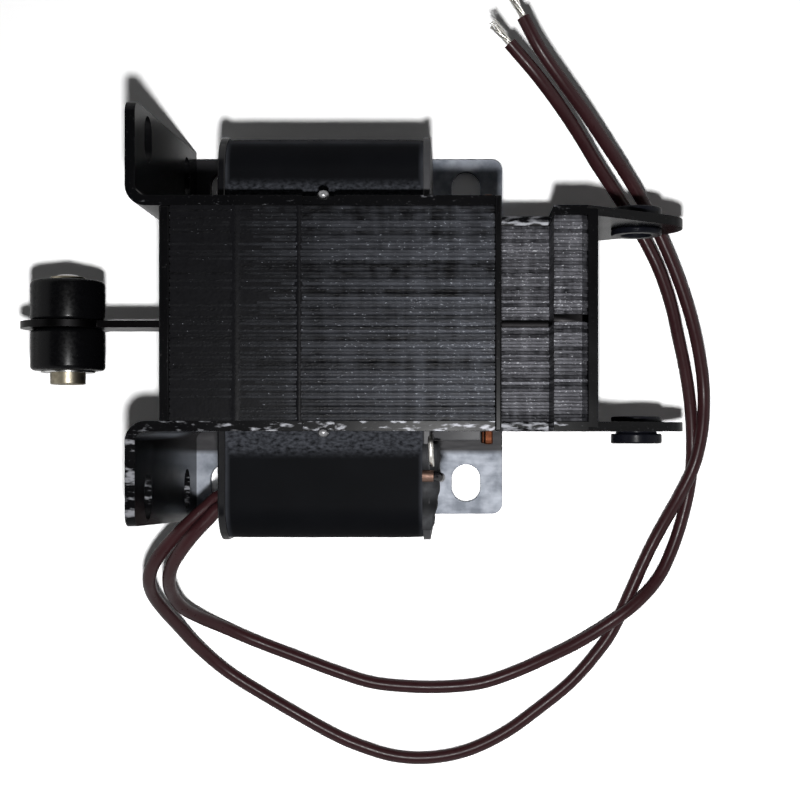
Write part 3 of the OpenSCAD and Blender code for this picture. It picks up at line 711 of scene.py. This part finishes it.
def plunger_outline():
    """Outline of one plunger sheet in X and Z: a T with chamfered outer corners."""
    x0, x1 = plunger_low[0], plunger_high[0]
    half = plunger_high[2] - AXIS_Z
    head = x1 - HEAD_LENGTH
    return np.array([
        (x0, AXIS_Z - STEM_HALF), (head, AXIS_Z - STEM_HALF), (head, AXIS_Z - half),
        (x1 - HEAD_CHAMFER, AXIS_Z - half), (x1, AXIS_Z - half + HEAD_CHAMFER),
        (x1, AXIS_Z + half - HEAD_CHAMFER), (x1 - HEAD_CHAMFER, AXIS_Z + half),
        (head, AXIS_Z + half), (head, AXIS_Z + STEM_HALF), (x0, AXIS_Z + STEM_HALF),
    ], float)


yoke_sheet, upper_sheet, lower_sheet = yoke_outlines()
for side in ("back", "front"):
    low, high = node_box("yoke_stack_" + side)
    piece = sheet_stack("yoke_sheets_" + side, yoke_sheet, low[1], high[1], SHEETS, 0.04, 0.17, 0.05,
                        YOKE_EDGES, "frame", "yoke_laminations")
    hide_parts("yoke_stack_" + side)
    low, high = node_box("plunger_stack_" + side)
    piece = sheet_stack("plunger_sheets_" + side, plunger_outline(), low[1], high[1], SHEETS, 0.06, 0.1, 0.08,
                        PLUNGER_EDGES, "plunger", "plunger_laminations")
    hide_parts("plunger_stack_" + side)

for end, outline in (("upper", upper_sheet), ("lower", lower_sheet)):
    low, high = node_box("centre_plate_" + end)
    piece = sheet_stack("centre_sheets_" + end, outline, low[1], high[1], 3, 0.04, 0.05, 0.17,
                        YOKE_EDGES, "frame", "yoke_laminations")
    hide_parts("centre_plate_" + end)

VARNISH_FALL = (-14, 6)  # where along X the varnish starts to sink into the gaps, and where it is lowest
VARNISH_RIDGES = ((-3.2, 0.19), (-13.1, 0.06))  # each ridge's place along X, and how far it stands up


def varnish_film():
    """Varnish in the gaps on top of the yoke: nearly level with the sheets at the push end, gone by the middle.

    Its height is a smooth step down along X, with bell-shaped ridges across the sheets where it ran together.
    """
    start, end = VARNISH_FALL
    x = np.linspace(yoke_low[0] + 0.2, end + 2, 160)
    t = np.clip((x - start) / (end - start), 0, 1)
    top = yoke_high[2] - 0.03 - 0.2 * t**2 * (3 - 2 * t)
    for at, height in VARNISH_RIDGES:
        top = top + height * np.exp(-((x - at) / 0.5) ** 2)
    bed = yoke_high[2] - 0.6 + 0 * x
    y0, y1 = node_box("yoke_stack_front")[0][1], node_box("yoke_stack_back")[1][1]
    sides = [np.column_stack([x, 0 * x + y, z]) for y, z in ((y0, bed), (y1, bed), (y1, top), (y0, top))]
    points = np.stack(sides, axis=1)
    last = 4 * (len(x) - 1)
    faces = loft(len(x), 4).tolist() + [[0, 1, 2, 3], [last + 3, last + 2, last + 1, last]]
    make_piece("yoke_varnish", points.reshape(-1, 3), faces, VARNISH, "frame", "yoke_laminations", 30)


varnish_film()

# ---- sheet metal and mouldings that keep the frame's shape ----

for side in ("back", "front"):
    softened("side_plate_" + side, SIDE_ENAMEL[side], "frame")
    softened("clevis_plate_" + side, CLEVIS_ENAMEL, "plunger")
    softened("ear_bush_" + side, BUSH_NYLON, "plunger", 0.25)
for name in ("stop_plate", "pole_plate_upper", "pole_plate_lower"):
    softened(name, ENAMEL, "frame")
for end in ("upper", "lower"):
    softened("shading_ring_" + end, COPPER, "frame", 0.25)
softened("push_bar", BAR_STEEL, "plunger", 0.12)
softened("base_plate", ZINC, "frame", 0.2)
softened("bobbin", NYLON, "frame", 0.2)

for name, item in nodes.items():
    plain = {"coil_winding": COPPER, "joint_pad": PAD}.get(name)
    if name.startswith(("yoke_rivet", "base_screw", "plunger_rivet")):
        plain = STEEL
    if plain:
        item.data.materials.clear()
        item.data.materials.append(plain)

# ---- coil wrap ----

COIL_R = 6  # radius of the wrap's corners
WRAP_RIM = 0.65  # how far the wrap rolls in at its ends


def round_box_path(low, high, radius, per_arc=14, per_side=18):
    """Points and outward normals round a rectangle in Y and Z with arcs at its corners, counter-clockwise."""
    points, normals = [], []
    inner_low, inner_high = low + radius, high - radius
    corners = [inner_high, (inner_low[0], inner_high[1]), inner_low, (inner_high[0], inner_low[1])]
    for k, corner in enumerate(corners):
        angle = np.linspace(0, np.pi / 2, per_arc) + k * np.pi / 2
        direction = np.column_stack([np.cos(angle), np.sin(angle)])
        arc = np.array(corner) + radius * direction
        after = (k + 1) % 4
        next_start = np.array(corners[after]) + radius * np.array(
            [math.cos(after * math.pi / 2), math.sin(after * math.pi / 2)])
        t = np.linspace(0, 1, per_side, endpoint=False)[1:, None]
        points += [arc, arc[-1] + t * (next_start - arc[-1])]
        normals += [direction, np.repeat(direction[-1:], per_side - 1, axis=0)]
    return np.concatenate(points), np.concatenate(normals)


def coil_wrap():
    """Tape round the winding: a rounded rectangle in Y and Z, carried along X.

    It lies a little lower at both rims, dips faintly where the turns below end, and rolls in at each end.
    """
    path, normal = round_box_path(tape_low[1:], tape_high[1:], COIL_R)
    x0, x1 = tape_low[0] + 0.01, tape_high[0] - 0.01
    s = np.linspace(0, 1, 40)
    swell = -0.05 - 0.12 * (2 * s - 1) ** 16
    section = np.vstack([np.column_stack([x0 + (x1 - x0) * s, swell]), [[x1, -WRAP_RIM]], [[x0, -WRAP_RIM]]])
    turn = np.linspace(0, 2 * np.pi, len(path), endpoint=False)
    wave = 0.008 * np.sin(5 * turn)[:, None] * np.sin(5 * np.pi * section[:, 0] / (x1 - x0))[None, :]
    offset = section[:, 1][None, :] + np.where(section[:, 1] > -WRAP_RIM, 1, 0)[None, :] * wave
    y = path[:, 0][:, None] + normal[:, 0][:, None] * offset
    z = path[:, 1][:, None] + normal[:, 1][:, None] * offset
    x = np.broadcast_to(section[:, 0][None, :], y.shape)
    points = np.stack([x, y, z], axis=-1).reshape(-1, 3)
    # Painted highlight: the end rims and the back top rim are marked here for the tape to lighten grey
    ends = np.abs(section[:, 0] - (x0 + x1) / 2) / ((x1 - x0) / 2)
    wear = np.clip((ends - 0.955) / 0.04, 0, 1)[None, :]
    back_rim_highlight = np.clip(1 - np.abs(y - tape_high[1] + 1.0) / 0.7, 0, 1)
    faces = loft(len(path), len(section), True).tolist()
    rim_wear = np.maximum(wear + 0 * y, back_rim_highlight).ravel()
    piece = make_piece("coil_wrap", points, faces, TAPE, "frame", "coil_tape", 50, rim_wear=rim_wear)
    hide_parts("coil_tape")


coil_wrap()

# ---- joint of a lead at the coil's pull end ----

FLAP_START = -20.4  # place along Y of the flap's end beside the side plate
FLAP_LENGTH = 14.0
CRIMP_Y = -25.6


def end_flap():
    """Cloth tape folded over the bobbin's rim and down its face.

    Across Y its bulge is full, then tapers to nothing; in X and Z it is an arch that leaves the rim,
    stands out by the bulge and comes back to the face. The drop down the face shrinks with the bulge.
    """
    top, face = bobbin_high[2], tape_high[0] + (tape_low[0] - bobbin_low[0])
    v = np.linspace(0, 1, 30)[:, None]
    y = FLAP_START - FLAP_LENGTH * v
    bulge = 1.35 * np.clip((1 - v) / 0.55, 0, 1) ** 0.7 + 0.25
    drop = 8.5 - 2.5 * v
    u = np.linspace(0, 1, 16)[None, :]
    ripple = 0.1 * np.sin(34 * v + 5 * u)
    x_out = face + (bulge + ripple) * np.sin(np.pi * u**0.8) ** 0.8 - 1.0 * (u < 0.02)
    z_out = top + 0.12 - drop * u**1.25
    outer = np.stack([x_out, y + 0 * u, z_out], axis=-1)
    inner = outer - np.array([0.3, 0, 0.12])
    section = np.concatenate([outer, inner[:, ::-1]], axis=1)
    count, size = section.shape[:2]
    faces = loft(count, size).tolist()
    last = (count - 1) * size
    faces += [list(range(size))[::-1], list(range(last, last + size))]
    return make_piece("joint_flap", section.reshape(-1, 3), faces, CLOTH, "frame", "coil_tape", 50)


def lead_joint():
    """Where the winding's end meets a lead: a tinned wire along the rim, a crimp and the sleeve's end."""
    rim_x, top = tape_high[0] + 1.2, bobbin_high[2]
    wire = rounded([
        (rim_x, -18.9, top - 1.6), (rim_x, -19.6, top + 0.4), (rim_x + 0.1, -22.6, top + 0.4),
        (rim_x + 0.3, -24.2, top - 0.6)], 1.0, 6)
    tube("joint_wire", wire, 0.45, TINNED, "frame", "coil_tape")
    crimp = [(rim_x - 1.3, CRIMP_Y, top + 0.55), (rim_x + 0.5, CRIMP_Y, top + 0.55)]
    tube("joint_crimp", crimp, 0.95, CRIMP, "frame", "copper")
    tail = rounded([
        crimp[1], (rim_x + 1.3, CRIMP_Y - 0.1, top + 0.4), (rim_x + 1.6, CRIMP_Y - 0.3, top - 2.4)], 0.6, 6)
    tube("joint_tail", tail, 0.8, SLEEVE, "frame", "coil_tape")


end_flap()
lead_joint()

LUG_X = 0.5  # the notches' place along X


def side_lugs():
    """A small swaged lug at each long-edge notch, on the side plate's outer face: an oval dome along X.

    Its section grows and shrinks as the sine of the way along it.
    """
    along = np.linspace(0, np.pi, 11)[:, None]
    about = np.linspace(0, 2 * np.pi, 16, endpoint=False)[None, :]
    outer_y = pole_high[1]
    for side in (-1, 1):
        for z, up in ((side_high[2] - 1.2, 1), (side_low[2] + 1.2, -1)):
            points = np.stack([
                LUG_X + 0.9 * np.cos(along) + 0 * about,
                side * (outer_y + 0.2 + 0.75 * np.sin(along) * np.cos(about)),
                z + up * 0.8 * np.sin(along) * np.sin(about)], axis=-1)
            where = ("front" if side < 0 else "back") + ("_top" if up > 0 else "_foot")
            faces = loft(len(along), about.size).tolist()
            make_piece("side_lug_" + where, points.reshape(-1, 3), faces, STEEL, "frame", "black_paint")


side_lugs()

# ---- bumper ----

PIN_R = 3.0


def bumper():
    """Two rubber rollers with rounded rims on a pin, which is capped behind and hollow in front."""
    x = (roller_low[0] + roller_high[0]) / 2
    r = (roller_high[0] - roller_low[0]) / 2
    bore = PIN_R + 0.05
    for side, node in ((1, "bumper_rubber_back"), (-1, "bumper_rubber_front")):
        inner, outer = sorted(abs(v) for v in (node_box(node)[0][1], node_box(node)[1][1]))
        shape = rounded([(bore, inner), (r, inner), (r, outer), (bore, outer)], 0.9, 6, True)
        shape[:, 1] *= side
        piece = turned(node + "_roller", shape, x, AXIS_Z, RUBBER, "plunger", "bumper_rubber")
        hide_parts(node)
    front, back = pin_low[1], pin_high[1]
    hub = roller_high[1]
    shaft = rounded([
        (0, back - 0.5), (PIN_R, back - 0.5), (PIN_R, front + 0.1), (2.7, front), (1.9, front),
        (1.7, front + 1.6), (0, front + 1.8)], 0.25, 4)
    piece = turned("bumper_pin_turned", shaft, x, AXIS_Z, PIN_METAL, "plunger", "pin_brass")
    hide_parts("bumper_pin")
    cap = rounded([(0, back), (1.5, back - 0.1), (PIN_R, back - 0.8), (PIN_R, hub), (0, hub)], 0.6, 6)
    turned("bumper_cap", cap, x, AXIS_Z, NICKEL, "plunger", "pin_brass")
    washer = rounded([(bore, -hub), (4.6, -hub), (4.6, -hub - 0.35), (bore, -hub - 0.35)], 0.1, 3, True)
    turned("bumper_washer", washer, x, AXIS_Z, NICKEL, "plunger", "pin_brass")


bumper()

# ---- floor and light ----

WALL_R = 1.5  # metres
WALL_H = 1.6
RIM_POINTS = 96
FLOOR_DROP = 0.05  # millimetres under the base plate


def stage_piece(name, points, faces, material):
    """A piece of the surroundings, which isn't part of the object."""
    mesh = bpy.data.meshes.new(name)
    mesh.from_pydata(np.asarray(points).tolist(), [], faces)
    mesh.shade_smooth()
    mesh.materials.append(material)
    item = bpy.data.objects.new(name, mesh)
    bpy.context.scene.collection.objects.link(item)
    item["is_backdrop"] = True


def seen_rays(tree, rays):
    """1 for rays from the lens and from glossy and clear surfaces, 0 for the rays that light the object."""
    shiny = add(tree, "Math", {
        0: rays.outputs["Is Glossy Ray"], 1: rays.outputs["Is Transmission Ray"]}, operation="MAXIMUM")
    return add(tree, "Math", {0: rays.outputs["Is Camera Ray"], 1: shiny}, operation="MAXIMUM")


def pale_floor():
    """Matt white board: near the object it keeps the shadow, and further out it is evenly white.

    The lens sees the near part as a brighter white than glossy surfaces do.
    """
    material, tree, coords = start_material("white_board")
    rays = add(tree, "LightPath")
    away = add(tree, "VectorMath", {0: coords.outputs["Object"]}, operation="LENGTH")
    far = add(tree, "MapRange", {
        "Value": away, "From Min": 125 * MM, "From Max": 280 * MM}, interpolation_type="SMOOTHSTEP")
    near = add(tree, "Mix", {
        "Factor": rays.outputs["Is Camera Ray"],
        "A": (0.8, 0.8, 0.8, 1), "B": (1.7, 1.7, 1.7, 1)}, data_type="RGBA")
    faded = add(tree, "Mix", {"Factor": far, "A": near, "B": (0, 0, 0, 1)}, data_type="RGBA")
    white = add(tree, "AddShader", {
        0: add(tree, "BsdfDiffuse", {"Color": faded}),
        1: add(tree, "Emission", {"Color": (1, 1, 1, 1), "Strength": far})})
    matt = add(tree, "BsdfDiffuse", {"Color": (0.8, 0.8, 0.8, 1)})
    board = add(tree, "MixShader", {0: seen_rays(tree, rays), 1: matt, 2: white})
    add(tree, "OutputMaterial", {"Surface": board})
    return material


def pale_wall():
    """Backdrop paper, seen as white."""
    material, tree, _ = start_material("backdrop_paper")
    white = add(tree, "Emission", {"Color": (1, 1, 1, 1), "Strength": 1.0})
    matt = add(tree, "BsdfDiffuse", {"Color": (0.5, 0.5, 0.5, 1)})
    paper = add(tree, "MixShader", {0: seen_rays(tree, add(tree, "LightPath")), 1: matt, 2: white})
    add(tree, "OutputMaterial", {"Surface": paper})
    return material


def make_stage():
    """A round floor just under the part, and an upright wall round it."""
    turn = np.linspace(0, 2 * np.pi, RIM_POINTS, endpoint=False)
    rim = np.column_stack([WALL_R * np.cos(turn), WALL_R * np.sin(turn), 0 * turn - FLOOR_DROP * MM])
    stage_piece("floor", rim, [list(range(RIM_POINTS))], pale_floor())
    stage_piece("wall", np.concatenate([rim, rim + [0, 0, WALL_H]]), loft(2, RIM_POINTS).tolist(), pale_wall())


def make_lamp(name, place, radius, watts):
    """A round lamp at a place in millimetres."""
    data = bpy.data.lights.new(name, "POINT")
    data.shadow_soft_size = radius * MM
    data.energy = watts
    lamp = bpy.data.objects.new(name, data)
    lamp.location = np.array(place) * MM
    bpy.context.scene.collection.objects.link(lamp)


def make_world():
    """A dim even surround, white to the lens."""
    world = bpy.data.worlds.new("surround")
    bpy.context.scene.world = world
    world.use_nodes = True
    tree = world.node_tree
    tree.nodes.clear()
    level = add(tree, "MapRange", {
        "Value": add(tree, "LightPath").outputs["Is Camera Ray"], "To Min": 0.05, "To Max": 1.0})
    back = add(tree, "Background", {"Color": (1, 1, 1, 1), "Strength": level})
    add(tree, "OutputWorld", {"Surface": back})


make_stage()
make_world()
make_lamp("key", (LENS_PLACE[0], -41.3, LENS_HEIGHT), radius=4.5, watts=2.2)
bpy.context.scene.view_settings.view_transform = "Standard"

low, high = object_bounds()
